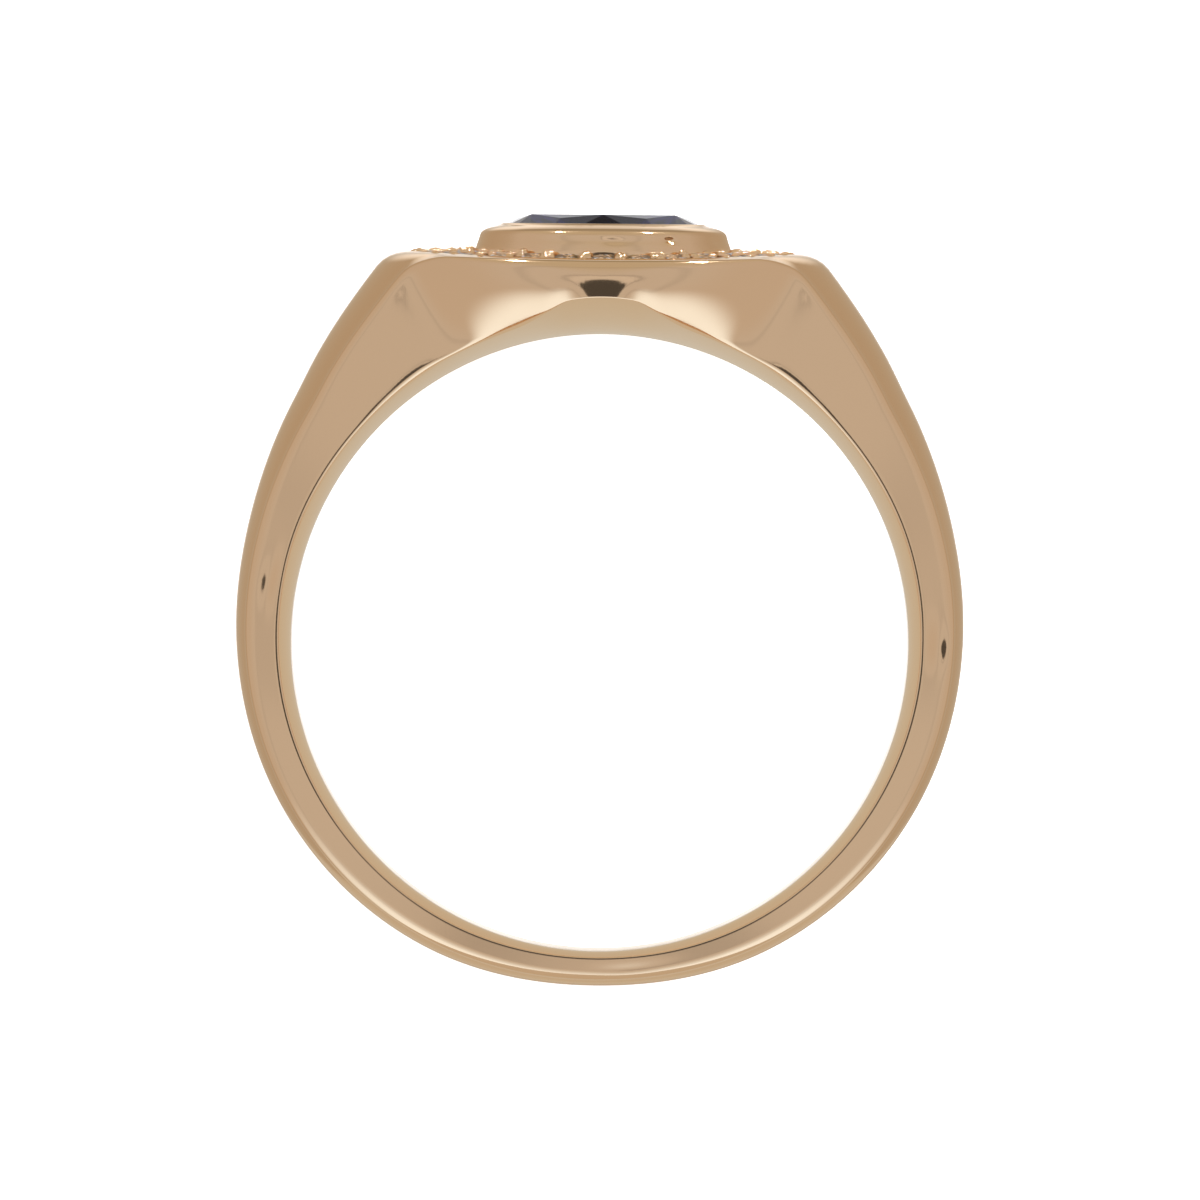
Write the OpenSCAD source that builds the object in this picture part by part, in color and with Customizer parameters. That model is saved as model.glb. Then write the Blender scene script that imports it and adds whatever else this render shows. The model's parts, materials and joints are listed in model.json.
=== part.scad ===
// Oval signet ring lying on its side: a gold body with a flared oval head, a rub-over set oval
// sapphire and a bead-set field of small diamonds round it. Millimetres.
//
// The ring is first described upright, in its own axes: x across the finger, y from the hole's
// centre to the head, z along the finger. It is then tipped to rest on the rim of its head and the
// edge of its band, as it lies on a table by itself.

/* [Finger hole] */
// Radius of the plain cylinder inside the band
bore_r = 9.25; // [9:0.05:9.6]
// Half length of that plain cylinder along the finger
land_half = 1.2; // [1:0.1:1.3]
// Slope at which the inner wall opens beyond the plain cylinder
relief_slope = 0.08; // [0.06:0.01:0.1]

/* [Head] */
// Half width of the oval head across the finger
head_half_x = 6.65; // [6.5:0.05:6.8]
// Half length of the oval head along the finger
head_half_z = 7.65; // [7.4:0.05:7.9]
// Height of the domed top above the hole's centre
top_height = 11.84; // [11.7:0.02:11.95]
// Drop of the dome for each square millimetre across the finger
dome_x = 0.0042; // [0.003:0.0002:0.005]
// Drop of the dome for each square millimetre along the finger
dome_z = 0.0068; // [0.005:0.0002:0.008]
// Rounding of the rim
rim_round = 0.3; // [0.2:0.02:0.36]
// How far the wall under the rim leans back in as it rises
rim_lean = 0.1; // [0.06:0.01:0.12]

/* [Sapphire] */
// Half width of the sapphire across the finger
stone_half_x = 3.1; // [3:0.05:3.15]
// Half length of the sapphire along the finger
stone_half_z = 4.1; // [4:0.05:4.15]
// Height of the top edge of its girdle above the hole's centre
girdle_height = 12.43; // [12.39:0.02:12.47]
// Thickness of its girdle
girdle_thick = 0.12; // [0.08:0.02:0.14]
// Height of its crown
crown_height = 0.4; // [0.36:0.02:0.42]
// Depth of its pavilion
pavilion_depth = 2.35; // [2.1:0.05:2.4]
// Width of its table as a share of the stone
table_share = 0.8; // [0.78:0.01:0.81]

/* [Bezel] */
// Thickness of the bezel wall outside the stone
bezel_wall = 0.66; // [0.6:0.02:0.7]
// How far the lip covers the edge of the stone
lip_cover = 0.12; // [0.08:0.01:0.13]

/* [Pave] */
// Width of the set field between the bezel and the border
field_width = 2; // [2:0.02:2.04]
// Depth of the field below the polished border
field_depth = 0.1; // [0.06:0.02:0.14]
// Diameter of a small diamond
melee_d = 0.88; // [0.8:0.02:0.9]
// Number of diamonds in the inner row
inner_count = 27; // [24:1:27]
// Number of diamonds in the outer row
outer_count = 33; // [28:1:33]
// Radius of a bead that holds the diamonds
bead_r = 0.12; // [0.08:0.01:0.12]

/* [Hidden] */

gold = [0.80, 0.62, 0.44];
navy = [0.10, 0.10, 0.24];
ice = [0.93, 0.95, 0.98];

// Columns of the section table, each row a half section of the band
TURN = 0;
WALL = 1;
CROWN = 2;
CREASE_RISE = 3;
CREASE_HALF = 4;
EDGE_HALF = 5;
// turn from the back of the band, wall thickness, drop of the outer face at its edge, rise of the
// inner edge above the bore, half width there, half width of the outer edge
SECTIONS = [
    [  0, 1.08, 0.36, 0.14, 1.90, 1.80],
    [ 30, 1.31, 0.44, 0.22, 2.05, 1.94],
    [ 60, 1.49, 0.44, 0.25, 2.50, 2.32],
    [ 90, 1.67, 0.44, 0.33, 3.10, 2.78],
    [110, 1.93, 0.52, 0.39, 3.60, 3.22],
    [128, 2.49, 0.74, 0.38, 4.10, 3.66],
    [136, 2.94, 0.81, 0.39, 4.33, 3.86],
    [144, 3.49, 0.89, 0.43, 4.56, 4.06],
    [150, 4.00, 0.95, 0.45, 4.75, 4.22],
    [155, 4.50, 1.00, 0.45, 4.97, 4.36],
    [160, 5.40, 1.00, 0.48, 5.30, 4.46],
    [166, 6.80, 1.00, 0.57, 6.02, 4.54],
    [171, 8.00, 1.00, 0.84, 6.90, 4.58],
    [174, 8.45, 1.00, 1.05, 7.22, 4.60],
    [176.5, 8.78, 1.00, 1.11, 7.54, 4.60],
    [180, 9.00, 1.00, 1.13, 7.62, 4.60]
];
// Turn from which the oval head stands on the band
HEAD_TURN = 146;
// Turns of all the sections, close together in the head
HALF_TURNS = concat([for (a = [0:9:90]) a], [94, 99], [for (a = [106:7:141]) a],
    [for (a = [146:2:162]) a], [for (a = [165:3:177]) a]);
TURNS = concat(HALF_TURNS, [180], [for (i = [len(HALF_TURNS) - 1:-1:1]) 360 - HALF_TURNS[i]]);

// Height on the oval's side at which its outline is read
rim_height = top_height - 0.3;
// Softness with which the outer face runs into the domed top, and sharpness with which the head's
// oval outline runs into the band's
top_blend = 0.45;
blend_power = 8;
// Turn over which the band's plain wall becomes the head's bowed one, how much that one bows, and the
// share of its height above which it leans back in
head_onset = 16;
head_bow = 0.8;
lean_from = 0.3;
corner_weight = 0.8;
// Depth inside the bore to which the body is filled before the hole is cut
fill_depth = 0.35;
// Shares along the inner relief, the side wall and the outer face at which a section has a point
RELIEF_STEPS = [0.3, 0.65, 0.94];
SIDE_STEPS = [0.07, 0.3, 0.65, 1];
TOP_STEPS = [0.75, 0.4];
CORNER_STEPS = [0.5, 1];

// Smooth value of a table column at a turn
function row_at(t, i = 0) = i < len(SECTIONS) - 2 && t > SECTIONS[i + 1][TURN] ? row_at(t, i + 1) : i;
function tangent(i, col) =
    i <= 0 || i >= len(SECTIONS) - 1 ? 0
    : (SECTIONS[i + 1][col] - SECTIONS[i - 1][col]) / (SECTIONS[i + 1][TURN] - SECTIONS[i - 1][TURN]);
function hermite(a, b, ma, mb, u) =
    a * (1 + 2 * u) * (1 - u) * (1 - u) + b * u * u * (3 - 2 * u)
    + ma * u * (1 - u) * (1 - u) - mb * u * u * (1 - u);
function column(t, col) =
    let (i = row_at(t))
    let (span = SECTIONS[i + 1][TURN] - SECTIONS[i][TURN])
    hermite(SECTIONS[i][col], SECTIONS[i + 1][col], tangent(i, col) * span,
            tangent(i + 1, col) * span, (t - SECTIONS[i][TURN]) / span);

// Smooth lesser of two lengths
function smooth_min(a, b, k) =
    let (h = max(0, min(1, 0.5 + 0.5 * (b - a) / k)))
    b + (a - b) * h - k * h * (1 - h);
// Share from 0 to 1 that eases in and out
function eased(u) = let (v = max(0, min(1, u))) v * v * (3 - 2 * v);
// Point on a rounded corner between two points
function rounded(first, corner, last, u) =
    let (a = (1 - u) * (1 - u))
    let (b = 2 * u * (1 - u) * corner_weight)
    (a * first + b * corner + u * u * last) / (a + b + u * u);

// Dome of the head, as a height and as a distance from the finger's axis along a turn
function dome(x, z) = top_height - dome_x * x * x - dome_z * z * z;
function dome_radius(t, z) =
    let (lean = tan(180 - t))
    let (q = dome_x * lean * lean)
    let (y = q < 0.000001 ? dome(0, z) : (sqrt(1 + 4 * q * dome(0, z)) - 1) / (2 * q))
    y / cos(180 - t);

// Half length of the head's oval outline along a turn
function oval_half(t) =
    let (x = rim_height * tan(180 - max(t, HEAD_TURN)) / head_half_x)
    x < 1 ? head_half_z * sqrt(1 - x * x) : 0;

// Outer wall of a section at a distance z along the finger
function outer_radius(t, z) =
    let (edge = column(t, EDGE_HALF))
    let (face = bore_r + column(t, WALL) - column(t, CROWN) * pow(z / edge, 2.2))
    t < HEAD_TURN ? face : smooth_min(dome_radius(t, z), face, top_blend);
function rim_half(t) =
    pow(pow(column(t, EDGE_HALF), blend_power) + pow(oval_half(t), blend_power), 1 / blend_power);

// Inner wall of a section, opening from the plain cylinder to the inner edge
function relief_radius(t, z) =
    let (reach = column(t, CREASE_HALF) - land_half)
    let (u = (z - land_half) / reach)
    bore_r + relief_slope * reach * u + (column(t, CREASE_RISE) - relief_slope * reach) * u * u;

// Point on the side wall of a section, a share of the way from its inner edge to its rim
function side_point(crease, edge_r, rim_z, lean, power, u) =
    let (bow = (1 - pow(1 - u, power)) * (rim_z - crease[1]))
    let (back = lean * pow(max(0, (u - lean_from) / (1 - lean_from)), 2))
    [crease[0] + u * (edge_r - crease[0]), crease[1] + bow - back];

// Half of the section at a turn, as [distance from the axis, distance along the finger]
function half_section(t) =
    let (crease = [bore_r + column(t, CREASE_RISE), column(t, CREASE_HALF)])
    let (rim_z = rim_half(t))
    let (headness = eased((t - HEAD_TURN) / head_onset))
    let (lean = rim_lean * headness)
    let (power = 1 + head_bow * headness)
    let (corner = min(rim_round, (outer_radius(t, rim_z) - crease[0]) * 0.45))
    let (flat_z = rim_z - lean - corner)
    let (top_r = outer_radius(t, flat_z))
    let (edge = side_point(crease, top_r - corner, rim_z, lean, power, 1))
    let (near = side_point(crease, top_r - corner, rim_z, lean, power, 0.99))
    let (slope = (edge[1] - near[1]) / (edge[0] - near[0]))
    concat(
        [[bore_r - fill_depth, 0]],
        [[bore_r - relief_slope * land_half / 3, land_half * 2 / 3]],
        [for (u = RELIEF_STEPS)
            let (z = land_half + u * (crease[1] - land_half))
            [relief_radius(t, z), z]],
        [for (u = SIDE_STEPS) side_point(crease, top_r - corner, rim_z, lean, power, u)],
        [for (u = CORNER_STEPS)
            rounded(edge, [top_r, edge[1] + slope * corner], [top_r, flat_z], u)],
        [for (u = TOP_STEPS) [outer_radius(t, u * flat_z), u * flat_z]],
        [[outer_radius(t, 0), 0]]
    );

// Points of a whole section, in the ring's upright axes
function section_points(turn) =
    let (half = half_section(turn <= 180 ? turn : 360 - turn))
    let (n = len(half))
    let (loop = concat(half, [for (i = [n - 2:-1:1]) [half[i][0], -half[i][1]]]))
    [for (p = loop) [p[0] * sin(turn), -p[0] * cos(turn), p[1]]];

// Faces of a tube of closed rings that joins up with itself
function torus_faces(rings, n) = [
    for (i = [0:rings - 1])
        for (j = [0:n - 1])
            let (a = i * n + j)
            let (b = i * n + (j + 1) % n)
            let (c = ((i + 1) % rings) * n + (j + 1) % n)
            let (d = ((i + 1) % rings) * n + j)
            each [[a, c, b], [a, d, c]]
];
// Faces of a tube of rings closed by flat ends
function tube_faces(rings, n) = concat(
    [for (i = [0:rings - 2])
        for (j = [0:n - 1])
            let (a = i * n + j)
            let (b = i * n + (j + 1) % n)
            let (c = (i + 1) * n + (j + 1) % n)
            let (d = (i + 1) * n + j)
            each [[a, c, b], [a, d, c]]],
    [[for (j = [0:n - 1]) j]],
    [[for (j = [n - 1:-1:0]) (rings - 1) * n + j]]
);

body_sections = [for (t = TURNS) section_points(t)];
body_points = [for (s = body_sections) each s];
side_reach = max([for (p = body_points) p[0]]);

// Ovals that follow the sapphire's outline at an offset from it
OVAL_SIDES = 48;
function oval_point(offset, height, angle) =
    [(stone_half_x + offset) * sin(angle), height, (stone_half_z + offset) * cos(angle)];
function oval_ring(offset, height, turn = 0) =
    [for (i = [0:OVAL_SIDES - 1]) oval_point(offset, height, (i + turn) * 360 / OVAL_SIDES)];

// Angle of the i-th of n points spaced evenly along the oval at an offset
function even_angle(offset, i, n) =
    let (a = stone_half_x + offset)
    let (b = stone_half_z + offset)
    let (u = i * 360 / n)
    u + (b * b - a * a) / (b * b + a * a) / 4 * sin(2 * u) * 180 / PI;

// Bezel: a wall round the stone, rolled over into a thin lip on its crown
base_flare = 0.1;
lip_thick = 0.03;
stone_gap = 0.035;
seat_reach = 0.45;
pavilion_top = girdle_height - girdle_thick;
bezel_foot = top_height - 0.65;
lip_height = girdle_height + 0.13;
// Outside of the bezel as a solid plug. Columns: offset from the stone's outline, height
BEZEL_PROFILE = [
    [bezel_wall, bezel_foot],
    [bezel_wall + base_flare, top_height - 0.16],
    [bezel_wall + 0.02, top_height],
    [bezel_wall, top_height + 0.36],
    [bezel_wall - 0.12, top_height + 0.54],
    [bezel_wall - 0.4, top_height + 0.67],
    [-2 * lip_cover, lip_height]
];
function profile_rings(profile, turn = 0) = [for (p = profile) each oval_ring(p[0], p[1], turn)];
bezel_points = profile_rings(BEZEL_PROFILE);

// Set field: its ovals, its floor below the dome, and the rows of diamonds
field_in = bezel_wall + base_flare - 0.02;
field_out = field_in + field_width;
row_in = field_in + field_width / 4;
row_out = field_in + field_width * 3 / 4;
function field_floor(p) = dome(p[0], p[2]) - field_depth;
melee_r = melee_d / 2;
seat_r = melee_r + 0.03;
seat_depth = 0.42;
melee_crown = 0.1;
melee_girdle = 0.04;
melee_pavilion = 0.36;
melee_table = 0.58;
bead_shift = field_width * 0.15;
BEAD_SIDES = 5;
SEAT_SIDES = 8;

// Places [x, floor height, z] of the diamonds, and of the beads between them
function on_floor(p) = [p[0], field_floor(p), p[2]];
function row_places(offset, count, shift, half) =
    [for (i = [0:count - 1]) on_floor(oval_point(offset + shift, 0, even_angle(offset, i + half, count)))];
MELEE = concat(row_places(row_in, inner_count, 0, 0), row_places(row_out, outer_count, 0, 0));
BEADS = concat(
    row_places(row_in, inner_count, -bead_shift, 0.5),
    row_places(row_in, inner_count, bead_shift, 0.5),
    row_places(row_out, outer_count, -bead_shift, 0.5),
    row_places(row_out, outer_count, bead_shift, 0.5)
);

// Hollow for the stone, from under its point to the mouth of the bezel, with the same columns as the
// bezel, and the small round hole behind the point. Its corners stand half a step from the bezel's.
hollow_end = bore_r + 0.85;
hollow_turn = 0.5;
HOLLOW_PROFILE = [
    [-1.9, hollow_end],
    [-seat_reach, top_height - 0.8],
    [-seat_reach, pavilion_top - stone_gap - seat_reach * 0.8],
    [stone_gap, pavilion_top - stone_gap],
    [stone_gap, girdle_height + 0.04],
    [-lip_cover, lip_height - lip_thick],
    [-lip_cover, lip_height + 1]
];
back_hole_r = 1.1;
HOLE_SIDES = 24;

// Mixed cut of the sapphire, six-fold: a wide table, stars, and facets that fan out to the girdle
// from the table's corners and the stars' points; mains and girdle facets below
FACETS = 6;
GIRDLE_SPLIT = 4;
GIRDLE_POINTS = FACETS * GIRDLE_SPLIT;
facet_turn = 360 / FACETS;
star_at = 0.82;
star_up = crown_height * 0.72;
lower_share = 0.26;
lower_down = pavilion_depth * (1 - lower_share * cos(facet_turn / 2));
function gem_point(half_x, half_z, share, height, angle) =
    [half_x * share * sin(angle), height, half_z * share * cos(angle)];
function gem_ring(half_x, half_z, share, height, count, offset) =
    [for (i = [0:count - 1]) gem_point(half_x, half_z, share, height, i * 360 / count + offset)];
stone_points = concat(
    gem_ring(stone_half_x, stone_half_z, table_share, girdle_height + crown_height, FACETS, 0),
    gem_ring(stone_half_x, stone_half_z, star_at, girdle_height + star_up, FACETS, facet_turn / 2),
    gem_ring(stone_half_x, stone_half_z, 1, girdle_height, GIRDLE_POINTS, 0),
    gem_ring(stone_half_x, stone_half_z, 1, pavilion_top, GIRDLE_POINTS, 0),
    gem_ring(stone_half_x, stone_half_z, lower_share, pavilion_top - lower_down, FACETS, facet_turn / 2),
    [[0, pavilion_top - pavilion_depth, 0]]
);
function table_at(i) = i % FACETS;
function star_of(i) = FACETS + (i + FACETS) % FACETS;
function upper_at(j) = 2 * FACETS + j % GIRDLE_POINTS;
function lower_at(j) = 2 * FACETS + GIRDLE_POINTS + j % GIRDLE_POINTS;
function main_of(i) = 2 * FACETS + 2 * GIRDLE_POINTS + (i + FACETS) % FACETS;
CULET = 3 * FACETS + 2 * GIRDLE_POINTS;
stone_faces = concat(
    [[for (i = [FACETS - 1:-1:0]) i]],
    [for (i = [0:FACETS - 1])
        let (g = GIRDLE_SPLIT * i)
        each [
            [table_at(i), table_at(i + 1), star_of(i)],
            [table_at(i), upper_at(g), upper_at(g + GIRDLE_POINTS - 1)],
            [table_at(i), upper_at(g + 1), upper_at(g)],
            [table_at(i), star_of(i), upper_at(g + 1)],
            [star_of(i), upper_at(g + 2), upper_at(g + 1)],
            [star_of(i), upper_at(g + 3), upper_at(g + 2)],
            [star_of(i), table_at(i + 1), upper_at(g + 3)],
            [CULET, main_of(i - 1), lower_at(g), main_of(i)],
            for (k = [0:GIRDLE_SPLIT - 1]) [main_of(i), lower_at(g + k), lower_at(g + k + 1)]
        ]],
    [for (j = [0:GIRDLE_POINTS - 1])
        [upper_at(j), upper_at(j + 1), lower_at(j + 1), lower_at(j)]]
);

// Single cut: table, eight facets above and eight below
MELEE_FACETS = 8;
melee_points = concat(
    gem_ring(melee_r, melee_r, melee_table, melee_girdle + melee_crown, MELEE_FACETS, 0),
    gem_ring(melee_r, melee_r, 1, melee_girdle, MELEE_FACETS, 0),
    gem_ring(melee_r, melee_r, 1, 0, MELEE_FACETS, 0),
    [[0, -melee_pavilion, 0]]
);
melee_faces = concat(
    [[for (i = [MELEE_FACETS - 1:-1:0]) i]],
    [for (i = [0:MELEE_FACETS - 1])
        let (k = (i + 1) % MELEE_FACETS)
        each [
            [i, k, MELEE_FACETS + k, MELEE_FACETS + i],
            [MELEE_FACETS + i, MELEE_FACETS + k, 2 * MELEE_FACETS + k, 2 * MELEE_FACETS + i],
            [2 * MELEE_FACETS + i, 2 * MELEE_FACETS + k, 3 * MELEE_FACETS]
        ]]
);

// Tip at which the rim of the head and the edge of the band touch the same floor
function lowest(points, slope) = min([for (p = points) p[2] - slope * p[1]]);
head_points = [for (p = body_points) if (p[1] > top_height / 2) p];
back_points = [for (p = body_points) if (p[1] < top_height / 4) p];
function rest_slope(low, high, steps = 40) =
    let (mid = (low + high) / 2)
    steps == 0 ? mid
    : lowest(head_points, mid) > lowest(back_points, mid) ? rest_slope(mid, high, steps - 1)
    : rest_slope(low, mid, steps - 1);
tip = -atan(rest_slope(-1, 0));
function tipped(p) = [p[0], p[1] * cos(tip) - p[2] * sin(tip), p[1] * sin(tip) + p[2] * cos(tip)];
all_tipped = [for (p = concat(body_points, bezel_points, stone_points)) tipped(p)];
floor_z = min([for (p = all_tipped) p[2]]);
middle_y = (min([for (p = all_tipped) p[1]]) + max([for (p = all_tipped) p[1]])) / 2;

module settled() {
    translate([0, -middle_y, -floor_z])
        rotate([tip, 0, 0])
            children();
}

module upright_cone(place, r_low, r_high, low, high, sides) {
    translate([place[0], place[1] + low, place[2]])
        rotate([-90, 0, 0])
            cylinder(h = high - low, r1 = r_low, r2 = r_high, $fn = sides);
}

module band() {
    polyhedron(body_points, torus_faces(len(body_sections), len(body_sections[0])), 10);
}

module finger_hole() {
    cylinder(h = 4 * head_half_z, r = bore_r, center = true, $fn = 180);
}

module field_cut() {
    shares = [0.02, 0.6, 0.8, 1];
    half_x = stone_half_x + field_out;
    half_z = stone_half_z + field_out;
    floor_rings = [
        for (s = shares)
            for (i = [0:OVAL_SIDES - 1])
                on_floor([half_x * s * sin(i * 360 / OVAL_SIDES), 0, half_z * s * cos(i * 360 / OVAL_SIDES)])
    ];
    polyhedron(concat(floor_rings, oval_ring(field_out, top_height + 1)),
        tube_faces(len(shares) + 1, OVAL_SIDES), 10);
}

module stone_hollow() {
    polyhedron(profile_rings(HOLLOW_PROFILE, hollow_turn),
        tube_faces(len(HOLLOW_PROFILE), OVAL_SIDES), 10);
    upright_cone([0, 0, 0], back_hole_r, back_hole_r, bore_r / 2, hollow_end + 0.1, HOLE_SIDES);
}

module bezel() {
    polyhedron(bezel_points, tube_faces(len(BEZEL_PROFILE), OVAL_SIDES), 10);
}

module beads() {
    for (place = BEADS)
        upright_cone(place, bead_r, bead_r * 0.45, -bead_r / 2, bead_r, BEAD_SIDES);
}

module melee_seats() {
    for (place = MELEE)
        upright_cone(place, seat_r, seat_r, -seat_depth, 0.5, SEAT_SIDES);
}

// Cast and soldered metal, before the finger hole is bored through it
module casting() {
    difference() {
        union() {
            difference() {
                band();
                field_cut();
            }
            bezel();
        }
        stone_hollow();
        melee_seats();
    }
    beads();
}

module gold_body() {
    color(gold)
        settled()
            difference() {
                resize([2 * side_reach, 0, 0])
                    casting();
                finger_hole();
            }
}

module sapphire() {
    color(navy)
        settled()
            polyhedron(stone_points, stone_faces, 10);
}

module pave_diamonds() {
    color(ice)
        settled()
            for (place = MELEE)
                translate(place + [0, 0.02, 0])
                    polyhedron(melee_points, melee_faces, 10);
}

gold_body();
sapphire();
pave_diamonds();
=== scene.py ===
# %% [markdown]
# # A gemstone ring lying on its side
# This lesson dresses a gold signet ring: a band that swells into an oval head, a rub-over bezel with a
# dark sapphire, and a field of small bead-set diamonds round it. The solids come from a CAD model as a
# fixed frame. We replace its coarse gold by smooth gold of the same form, cut finer small stones, and
# keep the sapphire's own facets under a better material.

import json
import math
import random

import bpy
from mathutils import Matrix, Vector


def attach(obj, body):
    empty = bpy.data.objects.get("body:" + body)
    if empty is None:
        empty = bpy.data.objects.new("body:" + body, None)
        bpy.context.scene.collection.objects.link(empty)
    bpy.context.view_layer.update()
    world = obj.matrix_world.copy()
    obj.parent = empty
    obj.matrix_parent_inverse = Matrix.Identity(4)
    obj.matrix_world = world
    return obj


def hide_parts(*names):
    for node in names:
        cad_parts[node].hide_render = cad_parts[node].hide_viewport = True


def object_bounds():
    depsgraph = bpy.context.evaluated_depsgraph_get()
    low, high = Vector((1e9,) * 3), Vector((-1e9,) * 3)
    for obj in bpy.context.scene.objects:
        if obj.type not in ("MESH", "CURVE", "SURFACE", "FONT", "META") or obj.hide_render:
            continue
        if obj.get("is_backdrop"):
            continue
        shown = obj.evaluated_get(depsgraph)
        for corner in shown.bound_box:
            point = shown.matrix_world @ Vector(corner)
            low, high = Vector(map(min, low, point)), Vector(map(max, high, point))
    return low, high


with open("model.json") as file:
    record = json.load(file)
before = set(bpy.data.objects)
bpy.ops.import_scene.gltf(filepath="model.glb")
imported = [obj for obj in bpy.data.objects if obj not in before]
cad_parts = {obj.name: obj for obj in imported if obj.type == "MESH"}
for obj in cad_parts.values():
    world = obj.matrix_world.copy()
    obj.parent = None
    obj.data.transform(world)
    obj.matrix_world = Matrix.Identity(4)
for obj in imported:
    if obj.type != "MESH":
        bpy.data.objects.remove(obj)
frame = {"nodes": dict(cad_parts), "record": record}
cad_low, cad_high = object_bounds()
print("CAD box in mm:", [round(1000 * (b - a), 2) for a, b in zip(cad_low, cad_high)])

# %% [markdown]
# ## The ring's own axes
# A ring is easiest to describe upright: x across the finger, y from the middle of the finger hole to the
# head, z along the finger. This one lies tipped on the rim of its head, so every point that we work out
# upright is carried into the frame. The finger hole's mount in the record gives the place and the lean.

# %% Upright axes and the way into the frame
MM = 0.001
hole = frame["record"]["mounts"][0]
BORE_R = hole["dims"]["r_mm"]
LAND_HALF = hole["dims"]["length_mm"] / 2
hole_centre = Vector(hole["pos_m"])
across = Vector((1, 0, 0))
along = Vector(hole["axis"]).normalized()
headward = along.cross(across)


def placed(x, y, z):
    """A point of the upright ring in millimetres, as a point of the frame in metres."""
    return hole_centre + MM * (x * across + y * headward + z * along)


print("lean of the ring in degrees:", round(math.degrees(math.acos(along.z)), 2))

# %% [markdown]
# ## Sizes
# These are the sizes that the CAD model is made from, so the smooth gold and the solids agree. The table
# holds one half section of the band a row, at a turn from the back of the band: the wall, the drop of the
# outer face at its edge, the rise of the inner edge above the bore, and two half widths.

# %% Sizes in millimetres
HEAD_HALF_X = 6.65
HEAD_HALF_Z = 7.65
TOP_HEIGHT = 11.84
DOME_X = 0.0042
DOME_Z = 0.0068
RIM_ROUND = 0.3
RIM_LEAN = 0.1
LEAN_FROM = 0.3
CORNER_WEIGHT = 0.8
CREASE_ROUND = 0.16
CREASE_SOFTENS = (40, 60)
CREASE_SHARPENS = (166, 10)
RELIEF_SLOPE = 0.08
HEAD_TURN = 146
HEAD_ONSET = 16
HEAD_BOW = 1.2
FLARE_SLOPE = 0.45
FLARE_REACH = 0.2
FLARE_WIDENS = (139, 6)
FLARE_STARTS = (131, 9)
FLARE_ENDS = (146, 6)
TOP_BLEND = 0.45
BLEND_POWER = 8
CROWN_POWER = 2.2
STONE_HALF_X = 3.1
STONE_HALF_Z = 4.1
GIRDLE_HEIGHT = 12.43
BEZEL_WALL = 0.66
BASE_FLARE = 0.1
LIP_COVER = 0.12
FIELD_WIDTH = 2.0
FIELD_DEPTH = 0.1
MELEE_D = 0.88

# Columns: turn, wall, crown, crease rise, crease half width, edge half width
SECTIONS = [
    (0, 1.08, 0.36, 0.14, 1.90, 1.80),
    (30, 1.31, 0.44, 0.22, 2.05, 1.94),
    (60, 1.49, 0.44, 0.25, 2.50, 2.32),
    (90, 1.67, 0.44, 0.33, 3.10, 2.78),
    (110, 1.93, 0.52, 0.39, 3.60, 3.22),
    (128, 2.49, 0.74, 0.38, 4.10, 3.66),
    (136, 2.94, 0.81, 0.39, 4.33, 3.86),
    (144, 3.49, 0.89, 0.43, 4.56, 4.06),
    (150, 4.00, 0.95, 0.45, 4.75, 4.22),
    (155, 4.50, 1.00, 0.45, 4.97, 4.36),
    (160, 5.40, 1.00, 0.48, 5.30, 4.46),
    (166, 6.80, 1.00, 0.57, 6.02, 4.54),
    (171, 8.00, 1.00, 0.84, 6.90, 4.58),
    (174, 8.45, 1.00, 1.05, 7.22, 4.60),
    (176.5, 8.78, 1.00, 1.11, 7.54, 4.60),
    (180, 9.00, 1.00, 1.13, 7.62, 4.60),
]
WALL, CROWN, CREASE_RISE, CREASE_HALF, EDGE_HALF = range(1, 6)


def tangent(i, col):
    """Slope of a column at a row, level at both ends of the table."""
    if i in (0, len(SECTIONS) - 1):
        return 0.0
    before, after = SECTIONS[i - 1], SECTIONS[i + 1]
    return (after[col] - before[col]) / (after[0] - before[0])


def column(turn, col):
    """Smooth value of a column at a turn."""
    i = max(n for n in range(len(SECTIONS) - 1) if n == 0 or SECTIONS[n][0] < turn)
    a, b = SECTIONS[i], SECTIONS[i + 1]
    span = b[0] - a[0]
    u = (turn - a[0]) / span
    return (
        a[col] * (1 + 2 * u) * (1 - u) ** 2
        + b[col] * u * u * (3 - 2 * u)
        + tangent(i, col) * span * u * (1 - u) ** 2
        - tangent(i + 1, col) * span * u * u * (1 - u)
    )


print("wall at the back, side and shoulder:", [round(column(t, WALL), 2) for t in (0, 90, 150)])

# %% [markdown]
# ## The shape of the casting
# The band and head are one flowing surface, so we describe it as a section that changes as it turns
# round the finger. Modelling it as a cage and smoothing it would also work, but polished metal shows
# every ripple of a cage. Working out the surface itself keeps reflections clean.

# %% Surface of the casting
def smooth_min(a, b, k):
    """The lesser of two lengths, blended over k."""
    h = max(0.0, min(1.0, 0.5 + 0.5 * (b - a) / k))
    return b + (a - b) * h - k * h * (1 - h)


def dome(x, z):
    """Height of the domed top of the head."""
    return TOP_HEIGHT - DOME_X * x * x - DOME_Z * z * z


def dome_radius(turn, z):
    """The dome as a distance from the finger's axis along a turn."""
    lean = math.radians(180 - turn)
    q = DOME_X * math.tan(lean) ** 2
    top = dome(0, z)
    y = top if q < 1e-6 else (math.sqrt(1 + 4 * q * top) - 1) / (2 * q)
    return y / math.cos(lean)


def oval_half(turn):
    """Half length of the head's oval outline along a turn."""
    x = (TOP_HEIGHT - 0.3) * math.tan(math.radians(180 - max(turn, HEAD_TURN))) / HEAD_HALF_X
    return HEAD_HALF_Z * math.sqrt(1 - x * x) if x < 1 else 0.0


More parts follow.
